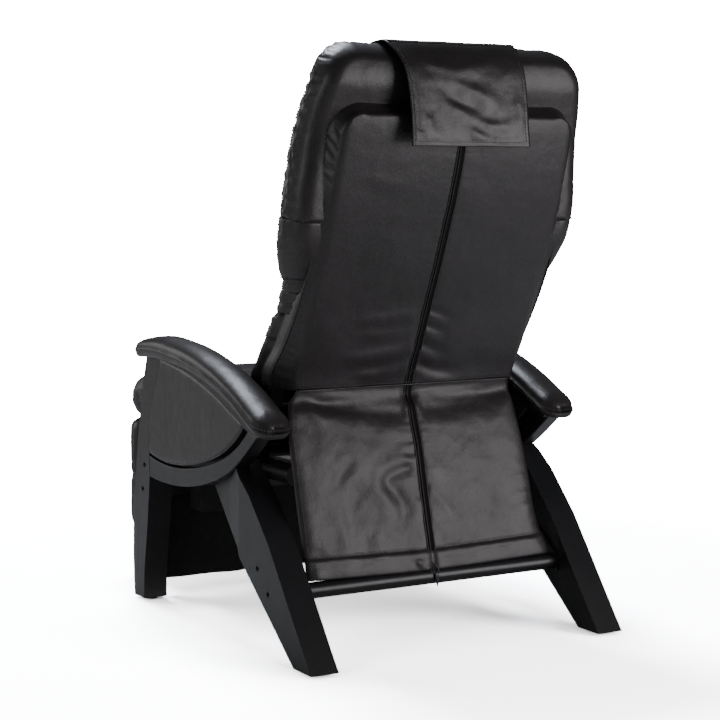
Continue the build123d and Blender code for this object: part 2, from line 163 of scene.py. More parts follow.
def foldDepth(points, folds):  # how far folds along their paths lift each (x, z) point
    points = np.array(points, float)
    total = np.zeros(len(points))
    for fold in folds:
        path = smoothPath(fold["path"])
        spans = np.linalg.norm(np.diff(path, axis=0), axis=1)
        nearest = np.full(len(points), 1e9)
        side, run = np.zeros(len(points)), np.zeros(len(points))
        for i, span in enumerate(spans):
            a, d = path[i], path[i + 1] - path[i]
            t = np.clip(((points - a) @ d) / span**2, 0, 1)
            gap = points - (a + t[:, None] * d)
            away = np.hypot(*gap.T)
            near = away < nearest
            nearest = np.where(near, away, nearest)
            side = np.where(near, away * np.sign(d[0] * gap[:, 1] - d[1] * gap[:, 0]), side)
            run = np.where(near, (spans[:i].sum() + t * span) / spans.sum(), run)
        first, last = fold.get("fade", (0.35, 0.35))
        ends = np.clip(run / first, 0, 1) * np.clip((1 - run) / last, 0, 1)
        ends = ends * ends * (3 - 2 * ends)
        width = fold["width"] * (0.7 + 0.6 * run)
        shape = np.exp(-(side / width)**2) - 0.4 * np.exp(-((side - 1.9 * width) / width)**2)
        total += fold["height"] * ends * shape
    return total


def smoothly(bm):
    bmesh.ops.recalc_face_normals(bm, faces=bm.faces)
    for f in bm.faces:
        f.smooth = True


def piece(name, bm, material):
    mesh = bpy.data.meshes.new(name)
    smoothly(bm)
    bm.to_mesh(mesh)
    bm.free()
    obj = bpy.data.objects.new(name, mesh)
    bpy.context.scene.collection.objects.link(obj)
    obj.data.materials.append(material)
    return obj


def settled(obj):  # the mesh with its modifiers applied
    bpy.context.view_layer.update()
    mesh = bpy.data.meshes.new_from_object(obj.evaluated_get(bpy.context.evaluated_depsgraph_get()))
    obj.modifiers.clear()
    obj.data = mesh
    return obj


def subdivided(obj, levels=1):
    modifier = obj.modifiers.new("smooth", "SUBSURF")
    modifier.levels = modifier.render_levels = levels
    return obj


def remeshed(obj, voxel, rounds=2):
    modifier = obj.modifiers.new("voxels", "REMESH")
    modifier.mode, modifier.voxel_size = "VOXEL", voxel * mm
    settled(obj)
    bm = bmesh.new()
    bm.from_mesh(obj.data)
    for _ in range(rounds):
        bmesh.ops.smooth_vert(bm, verts=bm.verts, factor=0.5, use_axis_x=True, use_axis_y=True,
                              use_axis_z=True)
    for f in bm.faces:
        f.smooth = True
    bm.to_mesh(obj.data)
    bm.free()
    return obj


def puffed(obj, cap, pressure=4, frames=13):  # inflates the cover as cloth, no point moving more than cap
    scene = bpy.context.scene
    rest = np.array([v.co for v in obj.data.vertices])
    cloth = obj.modifiers.new("cover", "CLOTH")
    cloth.settings.use_pressure = True
    cloth.settings.uniform_pressure_force = pressure
    cloth.settings.effector_weights.gravity = 0
    for n in range(1, frames + 1):
        scene.frame_set(n)
        bpy.context.view_layer.update()
    soft = obj.evaluated_get(bpy.context.evaluated_depsgraph_get()).data
    moved = np.array([v.co for v in soft.vertices]) - rest
    scene.frame_set(1)
    obj.modifiers.clear()
    far = np.linalg.norm(moved, axis=1, keepdims=True)
    moved *= np.minimum(1, cap * mm / np.maximum(far, 1e-9))
    obj.data.vertices.foreach_set("co", (rest + moved).ravel())
    obj.data.update()
    return obj


def reshaped(obj, amount):  # push() on a finished object
    bm = bmesh.new()
    bm.from_mesh(obj.data)
    push(bm, amount)
    bm.to_mesh(obj.data)
    bm.free()
    return obj


def tube(name, path, radius, material, closed=False):
    data = bpy.data.curves.new(name, "CURVE")
    data.dimensions = "3D"
    data.bevel_depth, data.bevel_resolution = radius * mm, 2
    data.use_fill_caps = not closed
    spline = data.splines.new("POLY")
    spline.points.add(len(path) - 1)
    for point, place in zip(spline.points, path):
        point.co = (*(Vector(place) * mm), 1)
    spline.use_cyclic_u = closed
    obj = bpy.data.objects.new(name, data)
    bpy.context.view_layer.update()
    bpy.context.scene.collection.objects.link(obj)
    bpy.context.view_layer.update()
    mesh = bpy.data.meshes.new_from_object(obj.evaluated_get(bpy.context.evaluated_depsgraph_get()))
    bpy.data.objects.remove(obj)
    bm = bmesh.new()
    bm.from_mesh(mesh)
    bmesh.ops.remove_doubles(bm, verts=bm.verts, dist=1e-6)
    return piece(name, bm, material)


def stitchRow(name, paths, material, pitch=6.2, length=4.2, radius=0.75):
    bm, one = bmesh.new(), bmesh.new()
    bmesh.ops.create_uvsphere(one, u_segments=5, v_segments=4, radius=1)
    stitch = bpy.data.meshes.new("stitch")
    one.to_mesh(stitch)
    one.free()
    for path in paths:
        points = [Vector(p) for p in path]
        runs = np.concatenate([[0], np.cumsum([(b - a).length for a, b in zip(points, points[1:])])])
        for n in range(int(runs[-1] / pitch)):
            s = (n + 0.5) * pitch
            i = int(np.searchsorted(runs, s)) - 1
            a, b = points[i], points[i + 1]
            spot = a.lerp(b, (s - runs[i]) / (runs[i + 1] - runs[i]))
            turn = (b - a).to_track_quat("Z", "Y").to_matrix().to_4x4()
            shape = stitch.copy()
            shape.transform(Matrix.Translation(spot * mm) @ turn
                            @ Matrix.Diagonal((radius * mm, radius * mm, length * mm / 2, 1)))
            bm.from_mesh(shape)
            bpy.data.meshes.remove(shape)
    return piece(name, bm, material)


def outlineLoop(halfX, halfZ, radius, step=6):  # points round a rounded rectangle
    loop = []
    for cx, cz, start in ((1, 1, 0), (-1, 1, 90), (-1, -1, 180), (1, -1, 270)):
        for k in range(9):
            a = math.radians(start + k * 90 / 8)
            loop.append((cx * (halfX - radius) + radius * math.cos(a),
                         cz * (halfZ - radius) + radius * math.sin(a)))
    loop.append(loop[0])
    dense = []
    for (x0, z0), (x1, z1) in zip(loop, loop[1:]):
        n = max(1, int(math.hypot(x1 - x0, z1 - z0) / step))
        dense += [(mix(x0, x1, k / n), mix(z0, z1, k / n)) for k in range(n)]
    return dense + [loop[0]]


def copyOf(node, name, material):  # a merged copy of a CAD node's mesh, to be given softer edges
    bm = bmesh.new()
    bm.from_mesh(nodes[node].data)
    bmesh.ops.remove_doubles(bm, verts=bm.verts, dist=1e-5)
    bmesh.ops.dissolve_limit(bm, angle_limit=math.radians(1), verts=bm.verts, edges=bm.edges)
    mesh = bpy.data.meshes.new(name)
    bm.to_mesh(mesh)
    bm.free()
    obj = bpy.data.objects.new(name, mesh)
    bpy.context.scene.collection.objects.link(obj)
    obj.data.materials.append(material)
    return obj


# materials

def finish(name, look):  # one procedural surface from a dictionary of its traits
    material = bpy.data.materials.new(name)
    material.use_nodes = True
    tree = material.node_tree
    shader = tree.nodes["Principled BSDF"]
    make, link = tree.nodes.new, tree.links.new
    place = make("ShaderNodeTexCoord")
    mapping = make("ShaderNodeMapping")
    mapping.inputs["Scale"].default_value = look.get("stretch", (1, 1, 1))
    link(place.outputs["Object"], mapping.inputs["Vector"])

    def pattern(kind, scale, detail=3):
        node = make(kind)
        node.inputs["Scale"].default_value = scale
        if kind == "ShaderNodeTexNoise":
            node.inputs["Detail"].default_value = detail
        link(mapping.outputs["Vector"], node.inputs["Vector"])
        return node
    blotch = pattern("ShaderNodeTexNoise", look["blotch"], 5)
    ramp = make("ShaderNodeValToRGB")
    ramp.color_ramp.elements[0].position, ramp.color_ramp.elements[1].position = 0.3, 0.7
    ramp.color_ramp.elements[0].color = (*look["dark"], 1)
    ramp.color_ramp.elements[1].color = (*look["light"], 1)
    link(blotch.outputs["Fac"], ramp.inputs["Fac"])
    link(ramp.outputs["Color"], shader.inputs["Base Color"])
    gloss = make("ShaderNodeMapRange")
    gloss.inputs["To Min"].default_value, gloss.inputs["To Max"].default_value = look["rough"]
    wear = pattern("ShaderNodeTexNoise", look.get("wear", look["blotch"] * 2.3), 4)
    link(wear.outputs["Fac"], gloss.inputs["Value"])
    link(gloss.outputs["Result"], shader.inputs["Roughness"])
    shader.inputs["Metallic"].default_value = look.get("metallic", 0)
    shader.inputs["Specular IOR Level"].default_value = look.get("specular", 0.5)
    shader.inputs["Coat Weight"].default_value = look.get("coat", 0)
    shader.inputs["Coat Roughness"].default_value = look.get("coatRough", 0.25)
    shader.inputs["Sheen Weight"].default_value = look.get("sheen", 0)
    shader.inputs["Sheen Roughness"].default_value = 0.5
    last = None
    for kind, scale, depth in look["bumps"]:
        node = pattern("ShaderNodeTex" + kind, scale)
        bump = make("ShaderNodeBump")
        bump.inputs["Distance"].default_value = depth * mm
        bump.inputs["Strength"].default_value = 1
        link(node.outputs["Distance" if kind == "Voronoi" else "Fac"], bump.inputs["Height"])
        if last:
            link(last.outputs["Normal"], bump.inputs["Normal"])
        last = bump
    if last:
        link(last.outputs["Normal"], shader.inputs["Normal"])
    return material


leatherBumps = [("Noise", 14, 1.6), ("Noise", 55, 0.55), ("Voronoi", 620, 0.16)]
looks = {
    "leather": {"dark": (0.014, 0.012, 0.0125), "light": (0.023, 0.0195, 0.020), "blotch": 6,
                "rough": (0.33, 0.45),
                "specular": 0.5, "bumps": leatherBumps},
    # the same leather given a lighter colour for the rear panel and apron: painted light, the lighter colour
    # stands in for the brighter light they catch
    "leatherRearPaintedLighter": {"dark": (0.016, 0.0135, 0.0145), "light": (0.025, 0.0215, 0.023), "blotch": 7,
                    "rough": (0.36, 0.48),
                    "specular": 0.5, "bumps": leatherBumps},
    "thread": {"dark": (0.06, 0.057, 0.058), "light": (0.11, 0.105, 0.108), "blotch": 400,
               "rough": (0.5, 0.7),
               "bumps": [("Noise", 2400, 0.1)]},
    "lacquer": {"dark": (0.006, 0.006, 0.0075), "light": (0.0095, 0.0095, 0.0115), "blotch": 9,
                "rough": (0.36, 0.46),
                "stretch": (1, 1, 0.2), "bumps": [("Noise", 120, 0.06), ("Noise", 900, 0.02)]},
    "plywood": {"dark": (0.20, 0.13, 0.07), "light": (0.34, 0.24, 0.14), "blotch": 18, "rough": (0.55, 0.75),
                "stretch": (0.15, 1, 1), "bumps": [("Noise", 300, 0.1)]},
    "steelBlack": {"dark": (0.010, 0.0105, 0.012), "light": (0.014, 0.0145, 0.016), "blotch": 30,
                   "rough": (0.30, 0.42),
                   "bumps": [("Noise", 1500, 0.03)]},
    "screw": {"dark": (0.03, 0.03, 0.032), "light": (0.06, 0.06, 0.062), "blotch": 80, "rough": (0.3, 0.45),
              "metallic": 1, "bumps": [("Noise", 900, 0.03)]},
    "bright": {"dark": (0.42, 0.42, 0.43), "light": (0.55, 0.55, 0.56), "blotch": 60, "rough": (0.2, 0.35),
               "metallic": 1, "stretch": (1, 0.1, 1), "bumps": [("Noise", 900, 0.01)]},
    "aluminium": {"dark": (0.48, 0.48, 0.49), "light": (0.6, 0.6, 0.61), "blotch": 40, "rough": (0.32, 0.45),
                  "metallic": 1, "bumps": [("Noise", 1200, 0.02)]},
    "plastic": {"dark": (0.012, 0.012, 0.013), "light": (0.018, 0.018, 0.019), "blotch": 40,
                "rough": (0.42, 0.55),
                "bumps": [("Voronoi", 1400, 0.05)]},
    "webbing": {"dark": (0.012, 0.012, 0.013), "light": (0.03, 0.03, 0.032), "blotch": 900,
                "rough": (0.75, 0.9),
                "sheen": 0.2, "bumps": [("Voronoi", 900, 0.3)]},
    "dustCloth": {"dark": (0.008, 0.008, 0.008), "light": (0.013, 0.013, 0.013), "blotch": 300,
                  "rough": (0.8, 0.95),
                  "bumps": [("Voronoi", 700, 0.2)]},
    "zipTape": {"dark": (0.004, 0.004, 0.0045), "light": (0.008, 0.008, 0.009), "blotch": 500,
                "rough": (0.6, 0.8), "specular": 0.12,
                "bumps": [("Voronoi", 1300, 0.25)]},
}
finishes = {name: finish(name, look) for name, look in looks.items()}
leather, leatherRearPaintedLighter, thread = finishes["leather"], finishes["leatherRearPaintedLighter"], finishes["thread"]
print("stage: materials")


# the back: every layer follows the side seam line, y against z

seamY = curve((440, 165), (510, 197), (575, 245), (667, 303), (726, 333), (802, 359), (868, 371), (974, 388),
              (1022, 404), (1060, 417), (1090, 418), (1115, 413), (1140, 400))
outerHalf = curve((638, 277), (667, 279), (693, 285), (725, 298), (748, 306), (782, 314), (824, 316),
                  (842, 317),
                  (904, 312), (963, 307), (1017, 300), (1060, 291), (1100, 289), (1140, 288))


seamLean = {"slope": 0.16, "height": 825, "reach": 60}  # the upper cross seam drops towards the rear
waist = {"gather": 3.2, "wave": 11, "crease": 3.5, "line": 697, "from": (540, 600), "to": (702, 688)}


def backCushion(name, node, size, middle, span, halfAt):
    halfX, halfZ = size["half"][0], size["half"][2]
    bottom, top = span

    def turned(depth):  # how much narrower the cushion is towards its front
        return 1 - size["taper"] * eased(size["seam"] + 12, -size["half"][1], depth)

    def place(x, depth, z):
        height = mix(bottom, top, (z / halfZ + 1) / 2)
        lean = seamLean["slope"] * (depth + size["half"][1]) \
            * math.exp(-((height - seamLean["height"]) / seamLean["reach"])**2)
        return x / halfX * halfAt(height) * turned(depth), seamY(height) + middle + depth, height - lean

    bm, marks = cushion(size, place)
    marks = iter(marks)

    def gathers(x, y, z, normal):  # puckers beside the side seam, soft dimples elsewhere
        flatX, depth, flatZ, rim = next(marks)
        amount = 1.4 * ripple(x, y, z, 75) + 0.5 * ripple(x, y, z, 30)
        away = abs(depth - size["seam"])
        rimness = eased(0.05, 0.7, rim) * (1 if "topJoin" not in size else eased(0, 22, halfZ - abs(flatZ)))
        fold = ripple(flatZ - abs(flatX), math.copysign(90, x), 0.3 * depth, size["pucker"])
        fold = max(fold, -0.25) + 0.35 * ripple(flatZ - abs(flatX), depth, math.copysign(50, x),
                                                size["pucker"] * 0.45)
        behind = 1 if depth > size["seam"] else 0.3
        amount += behind * size["puckerDepth"] * fold * math.exp(-(away / size["puckerLong"])**2) * rimness
        if abs(flatX) > halfX * 0.6:  # close horizontal gathers at the waist
            band = eased(*waist["to"], z) * eased(*waist["from"], z)
            amount += waist["gather"] * ripple(0, 0.15 * depth, z, waist["wave"]) * band * rimness
            amount -= waist["crease"] * math.exp(-((z - waist["line"]) / 3.5)**2) * rimness
        return amount - 2.4 * math.exp(-(away / 2.4)**2) * rimness
    push(bm, gathers)
    obj = piece(name, bm, leather)
    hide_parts(node)
    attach(obj, "backrest")
    rows = []
    for side in (1, -1):
        for shift in (-5, 5):
            path = []
            for z in np.arange(bottom + 12, top - (size["corner"] if size["corner"] > 20 else 12), 5):
                x = halfAt(z) * (1 + 3 / halfX) * turned(size["seam"] + shift) - 0.4
                path.append((side * x, seamY(z) + middle + size["seam"] + shift, z))
            rows.append(path)
    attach(stitchRow(name + "Stitches", rows, thread), "backrest")
    return obj


shoulderSize = {"half": (300, 51, 155), "corner": 80, "lowCorner": 6, "edge": 36, "join": 4, "crown": 6,
                "frontCrown": 24, "bulge": 3,
                "cuts": (130, 28, 90), "seam": -14, "taper": 0.10, "pucker": 13, "puckerDepth": 4.2,
                "puckerLong": 36, "fill": 0.85}
middleSize = {"half": (296, 52, 97), "corner": 6, "edge": 34, "join": 5, "topJoin": True, "crown": 9,
              "frontCrown": 16, "bulge": 4,
              "cuts": (110, 26, 56), "seam": -18, "taper": 0.09, "pucker": 16, "puckerDepth": 3.5,
              "puckerLong": 30, "fill": 0.85}
lumbarSize = {"half": (272, 54, 96), "corner": 22, "edge": 36, "crown": 12, "bulge": 4, "cuts": (90, 22, 44),
              "seam": -8, "taper": 0.075, "pucker": 20, "puckerDepth": 3, "puckerLong": 30, "fill": 0.85}
backCushion("shoulderCushion", "shoulder_cushion", shoulderSize, -50, (824, 1133), outerHalf)
backCushion("middleCushion", "back_cushion", middleSize, -54, (634, 826), outerHalf)
backCushion("lumbarCushion", "lumbar_cushion", lumbarSize, -80, (439, 640),
            curve((440, 268), (560, 272), (650, 270)))
print("stage: back cushions")

panelSize = {"bottom": 487, "seamTop": 1029, "faceTop": 1004, "seamCorner": 62, "faceCorner": 40, "crown": 7,
             "band": 38, "cuts": (150, 10, 150), "rim": 3.5, "groove": 2.8, "grooveHalf": 7.5,
             "lift": (1.2, 0.4)}
panelHalf = curve((480, 247), (530, 252), (600, 255), (740, 255), (890, 254), (1010, 253))
panelRear = curve((480, 246), (486, 248), (512, 256), (557, 277), (637, 310), (715, 343), (799, 376),
                  (867, 401),
                  (941, 423), (985, 433), (1010, 436))
seamHalf = curve((480, 262), (495, 272), (510, 277), (575, 275), (667, 273), (802, 271), (927, 269),
                 (1035, 267))
panelFolds = [
    {"path": [(175, 618), (90, 623), (8, 628)], "width": 12, "height": 2.0, "fade": (0.5, 0.15)},
    {"path": [(170, 590), (80, 592), (6, 596)], "width": 12, "height": 1.6, "fade": (0.5, 0.15)},
    {"path": [(185, 552), (120, 545), (60, 552), (4, 566)], "width": 14, "height": 3.2, "fade": (0.4, 0.1)},
    {"path": [(150, 515), (90, 512), (45, 518), (4, 527)], "width": 12, "height": 3.4, "fade": (0.4, 0.1)},
    {"path": [(-4, 638), (-35, 630), (-75, 615)], "width": 9, "height": -2.0, "fade": (0.1, 0.6)},
    {"path": [(-4, 609), (-30, 600), (-70, 588)], "width": 9, "height": -2.4, "fade": (0.1, 0.6)},
    {"path": [(-4, 572), (-35, 560), (-85, 545)], "width": 11, "height": -3.2, "fade": (0.1, 0.6)},
    {"path": [(-4, 534), (-50, 518), (-130, 506)], "width": 12, "height": -3.6, "fade": (0.1, 0.5)},
    {"path": [(-120, 560), (-180, 540), (-235, 500)], "width": 19, "height": 1.6},
    {"path": [(230, 640), (200, 560), (190, 500)], "width": 30, "height": 1.6},
    {"path": [(-60, 830), (-140, 800), (-210, 812)], "width": 22, "height": 0.6},
    {"path": [(235, 900), (150, 880), (60, 868)], "width": 14, "height": 0.6},
]


def panelPoint(u, w, v):
    t = max(0, (w + 0.2) / 1.2)
    top = mix(panelSize["seamTop"], panelSize["faceTop"], t)
    bottom = panelSize["bottom"]
    z = mix(bottom, top, (v + 1) / 2)
    half = mix(seamHalf(z), panelHalf(z), t)
    radius = mix(panelSize["seamCorner"], panelSize["faceCorner"], t)
    x = half * (0.35 * u + 0.65 * u**3)
    if z > top - radius and abs(x) > half - radius:
        x, z = roundCorner(x, z - (top - 2 * radius), half, 2 * radius, radius)
        z += top - 2 * radius
    if w > 0.999:
        edge = min(half - abs(x), top - z + (0 if abs(x) < half - radius else radius - 1))
        y = (panelRear(z) - panelSize["crown"] * abs(x / half)**3
             - panelSize["rim"] * math.exp(-max(0, edge) / panelSize["rim"]))
        y -= panelSize["groove"] * math.exp(-(x / panelSize["grooveHalf"])**2)
        y += 0.9 * ripple(0, 0, z, 7) * math.exp(-abs(x) / 22) + 1.5 * ripple(x, 0, z, 120)
        y += 0.35 * ripple(x, 0, z, 26)
    elif t > 0:
        y = mix(seamY(z) - 1, panelRear(z) - panelSize["crown"] - panelSize["rim"], t)
        x += (math.copysign(2.6, x) * math.sin(math.pi * t)
              * ripple(0, y * 0.7, z + y * 0.8, 12) * eased(60, 90, abs(x)))
    else:
        forward = panelSize["band"] if z < 650 else mix(panelSize["band"], 3, min(1, (z - 650) / 40))
        y = seamY(z) - 1 - forward * (-0.2 - w) / 0.8
    return x, y, z


bm = fineBlock(panelSize["cuts"])
facing = []
for v in bm.verts:
    rear = v.co.y > 0.999
    v.co = Vector(panelPoint(*v.co)) * mm
    if rear:
        facing.append(v)
for v, lift in zip(facing, foldDepth([(v.co.x / mm, v.co.z / mm) for v in facing], panelFolds)):
    v.co.y += lift * mm * panelSize["lift"][0]
    v.co.z += lift * mm * panelSize["lift"][1]
# the panel takes the lighter copy of the leather, painted light
rearPanel = piece("rearPanel", bm, leatherRearPaintedLighter)
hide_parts("rear_panel")
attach(rearPanel, "backrest")


def seamPath(inset=0, lift=0):  # round the raised panel, up one side, over the top and down the other
    top, radius = panelSize["seamTop"] - inset, panelSize["seamCorner"]
    side = [(seamHalf(z) - inset, z) for z in np.arange(488, top - radius, 8)]
    half = seamHalf(top - radius) - inset
    corner = [(half - radius + radius * math.cos(a), top - radius + radius * math.sin(a))
              for a in np.linspace(0, math.pi / 2, 14)]
    right = side + corner
    line = right + [(x, top) for x in np.arange(half - radius - 12, 0, -12)]
    line += [(-x, z) for x, z in line[::-1]]
    return [(x, seamY(z) + lift, z) for x, z in line]


gussetPiping = tube("gussetPiping", seamPath(inset=0.6, lift=0.5), 1.6, leather)
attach(gussetPiping, "backrest")
for side, letter in ((1, "l"), (-1, "r")):
    edge = [(side * (seamHalf(z) - 1.6), seamY(z) - panelSize["band"] + 1.5, z)
            for z in np.arange(488, 640, 7)]
    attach(tube("bandPiping_" + letter, edge, 2.2, leather), "backrest")
print("stage: rear panel")

# the zip down the middle, the cross seam and the apron under it

zipSize = {"bandHalf": 6.6, "lip": 7.9, "lipRadius": 1.5, "pullLip": 2.6}


# a dark band of tape and teeth between two leather lips, one fold of leather over it
def zipParts(name, line):
    parts = []
    for letter, across, radius in (("l", zipSize["lip"], zipSize["lipRadius"]),
                                   ("r", -zipSize["lip"], zipSize["lipRadius"]),
                                   ("fold", zipSize["pullLip"], 1.2)):
        path = [(across + 0.6 * ripple(0, across, z, 26), y + (0.6 if letter == "fold" else 0), z) for y,
                z in line]
        parts.append(tube(name + "Lip_" + letter, path, radius, leather))
    band = fineBlock((5, 0, len(line) - 2))
    for v in band.verts:
        u, w, h = v.co
        y, z = line[round((h + 1) / 2 * (len(line) - 1))]
        v.co = Vector((u * zipSize["bandHalf"], y - 0.4 + w * 0.7 - 0.5 * abs(u), z)) * mm
    parts.append(piece(name + "Band", band, finishes["zipTape"]))
    return parts


backLine = [(panelRear(z) - 0.2, z) for z in np.arange(487, 966, 3)]
backZip = zipParts("backZip", backLine)
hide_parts("rear_zipper")
for part in backZip:
    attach(part, "backrest")

apronY = curve((110, 355), (123, 352), (156, 341), (212, 326), (287, 306), (363, 287), (419, 268), (447, 257),
               (465, 245), (480, 245), (490, 249))
apronLeft = curve((110, 278), (141, 278), (300, 280), (400, 279), (440, 274), (468, 262), (480, 252),
                  (490, 247))
apronRight = curve((110, 280), (141, 277), (190, 262), (300, 251), (420, 242), (490, 237))
apronSize = {"top": 488, "hem": 40, "thick": 1.8, "cuts": (130, 0, 120), "blendFrom": (0, 0.352, 0.125),
             "blendTo": (0, 0.250, 0.484), "groove": 3, "lift": (0.6, 0.2)}
apronFolds = [
    {"path": [(232, 474), (150, 470), (70, 466), (8, 466)], "width": 13, "height": 5.5, "fade": (0.25, 0.08)},
    {"path": [(235, 470), (170, 453), (90, 443), (8, 440)], "width": 16, "height": -4.5, "fade": (0.2, 0.1)},
    {"path": [(-8, 464), (-90, 468), (-170, 473), (-236, 480)], "width": 13, "height": 4.5,
     "fade": (0.08, 0.25)},
    {"path": [(-8, 438), (-100, 442), (-180, 456), (-238, 476)], "width": 19, "height": -4.5,
     "fade": (0.1, 0.2)},
    {"path": [(238, 476), (205, 425), (170, 390)], "width": 14, "height": 3.0, "fade": (0.2, 0.6)},
    {"path": [(142, 365), (175, 330), (204, 290)], "width": 12, "height": -3.1},
    {"path": [(128, 328), (163, 268), (158, 188)], "width": 18, "height": -3.4},
    {"path": [(10, 330), (50, 326), (78, 310), (62, 285), (50, 262), (56, 236), (92, 214)], "width": 14,
     "height": -4.7,
     "fade": (0.12, 0.3)},
    {"path": [(4, 372), (30, 368), (62, 372)], "width": 8, "height": 1.5, "fade": (0.1, 0.6)},
    {"path": [(4, 350), (26, 345), (54, 350)], "width": 8, "height": 1.9, "fade": (0.1, 0.6)},
    {"path": [(4, 262), (30, 268), (48, 282)], "width": 9, "height": 1.2, "fade": (0.1, 0.6)},
    {"path": [(-4, 292), (-34, 268), (-70, 214), (-80, 180)], "width": 16, "height": 2.7, "fade": (0.1, 0.5)},
    {"path": [(-4, 246), (-30, 226), (-48, 190), (-52, 168)], "width": 12, "height": 2.0, "fade": (0.1, 0.5)},
    {"path": [(-4, 330), (-60, 310), (-130, 250), (-150, 190)], "width": 28, "height": 1.5,
     "fade": (0.1, 0.5)},
    {"path": [(-246, 300), (-215, 294), (-185, 300)], "width": 9, "height": 1.5, "fade": (0.1, 0.7)},
    {"path": [(-250, 262), (-215, 262), (-190, 270)], "width": 9, "height": 1.9, "fade": (0.1, 0.7)},
    {"path": [(-252, 238), (-222, 242), (-200, 252)], "width": 8, "height": 1.5, "fade": (0.1, 0.7)},
    {"path": [(-236, 440), (-200, 400), (-190, 340)], "width": 24, "height": 1.6},
    {"path": [(225, 400), (215, 320), (232, 240)], "width": 24, "height": 1.9},
    {"path": [(250, 215), (225, 190), (215, 172)], "width": 12, "height": 1.9},
    {"path": [(190, 250), (185, 210), (192, 172)], "width": 15, "height": 2.1, "fade": (0.5, 0.1)},
    {"path": [(110, 225), (118, 195), (112, 168)], "width": 14, "height": 1.9, "fade": (0.5, 0.1)},
    {"path": [(-105, 220), (-112, 190), (-110, 168)], "width": 16, "height": 1.6, "fade": (0.5, 0.1)},
    {"path": [(-150, 216), (-160, 190), (-158, 166)], "width": 15, "height": 1.4, "fade": (0.5, 0.1)},
    {"path": [(44, 158), (26, 150), (14, 136)], "width": 8, "height": 3.1, "fade": (0.3, 0.1)},
    {"path": [(16, 160), (22, 150), (40, 140)], "width": 6, "height": -1.9},
    {"path": [(270, 160), (255, 150), (250, 134)], "width": 9, "height": 1.9},
]


def apronBottom(x):
    return 138 + 6 * (abs(x) / 277)**1.4


def apronPoint(u, w, v):
    x = 0.55 * u + 0.45 * u**3
    z = mix(apronBottom(x * 277), apronSize["top"], (v + 1) / 2)
    edge = 1 - abs(x)
    x *= apronLeft(z) if x > 0 else apronRight(z)
    y = apronY(z) + w * apronSize["thick"] / 2
    fade = min(1, max(0, (z - 128) / 40), (490 - z) / 10)
    y += (fade * (1.6 * ripple(x, 3, z, 55) + 0.5 * ripple(x, 3, z, 20))
          + 0.9 * ripple(0, 0, z, 7) * math.exp(-abs(x) / 20))
    y -= apronSize["groove"] * math.exp(-(x / panelSize["grooveHalf"])**2)
    y -= 6 * max(0, 0.07 - edge) / 0.07 * (1 - (z - 128) / 500)
    line = apronBottom(x) + apronSize["hem"]
    y += 1.6 * math.exp(-((z - line + 7) / 6)**2) - 1.6 * math.exp(-((z - line) / 2.6)**2)
    if z < line:
        y += 3.5 * max(0, math.sin(math.pi * (line - z) / apronSize["hem"]))**0.7
    return x, y, z


bm = fineBlock(apronSize["cuts"])
for v in bm.verts:
    v.co = Vector(apronPoint(*v.co)) * mm
verts = list(bm.verts)
for v, lift in zip(verts, foldDepth([(v.co.x / mm, v.co.z / mm) for v in verts], apronFolds)):
    v.co.y += lift * mm * apronSize["lift"][0]
    v.co.z += lift * mm * apronSize["lift"][1]
# the apron takes the lighter copy of the leather, painted light
apron = piece("apronCover", bm, leatherRearPaintedLighter)


def onApron(x, z, proud=0.6):  # the cover's outer face at x, z
    hit, place, normal, _ = apron.ray_cast(Vector((x, 460, z)) * mm, Vector((0, -1, 0)))
    return (x, place.y / mm + proud, z) if hit else (x, apronY(z) + 2, z)


bpy.context.view_layer.update()
apronRows = [[onApron(apronLeft(z) - 9, z) for z in np.arange(150, 484, 4)],
             [onApron(9 - apronRight(z), z) for z in np.arange(150, 484, 4)]]
for side in (1, -1):
    xs = np.arange(10, 268, 4) * side
    apronRows.append([onApron(x, apronBottom(x) + apronSize["hem"] + 2) for x in xs])
apronStitches = stitchRow("apronStitches", apronRows, thread)
apronLine = [(apronY(z) + 0.6, z) for z in np.arange(125, 487, 3)]
apronZip = zipParts("apronZip", apronLine)
sliderSize = {"half": (4.4, 2.4, 7), "y": 355, "z": 126, "tab": (2.6, 0.9, 9), "tabAt": (0, 358.6, 117)}
slider = fineBlock((3, 2, 5))
for v in slider.verts:
    u, w, h = v.co
    across, deep, tall = sliderSize["half"]
    across *= 1 - 0.25 * (h < -0.5)
    deep *= 1 - 0.2 * h * h
    v.co = Vector((u * across, sliderSize["y"] + w * deep, sliderSize["z"] + h * tall)) * mm
bmesh.ops.bevel(slider, geom=[e for e in slider.edges if e.calc_face_angle(0) > 0.6], offset=0.7 * mm,
                segments=2,
                affect="EDGES", profile=0.5, material=-1)
tab = bmesh.new()
bmesh.ops.create_uvsphere(tab, u_segments=14, v_segments=8, radius=1,
                          matrix=Matrix.Translation(Vector(sliderSize["tabAt"]) * mm)
                          @ Matrix.Diagonal((*(Vector(sliderSize["tab"]) * mm), 1)))
apronSlider = piece("zipSlider", slider, finishes["screw"])
sliderTab = piece("zipSliderTab", tab, finishes["screw"])
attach(apronSlider, "root")
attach(sliderTab, "root")
for part in [apron, apronStitches, *apronZip]:
    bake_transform(part)
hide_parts("apron")

crossLine = [(x, panelRear(488) - 6 * abs(x / 247)**3 + 0.5, 487) for x in np.linspace(-240, 248, 90)]
crossSeam = tube("crossSeam", crossLine, 1.8, leather)
crossStitches = stitchRow("crossSeamStitches", [[(x, y + 2.4, z + 5) for x, y, z in crossLine]], thread)
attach(crossSeam, "backrest")
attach(crossStitches, "backrest")
print("stage: zip and apron")

# the flap over the crest, the strap in front of it and the head pillow

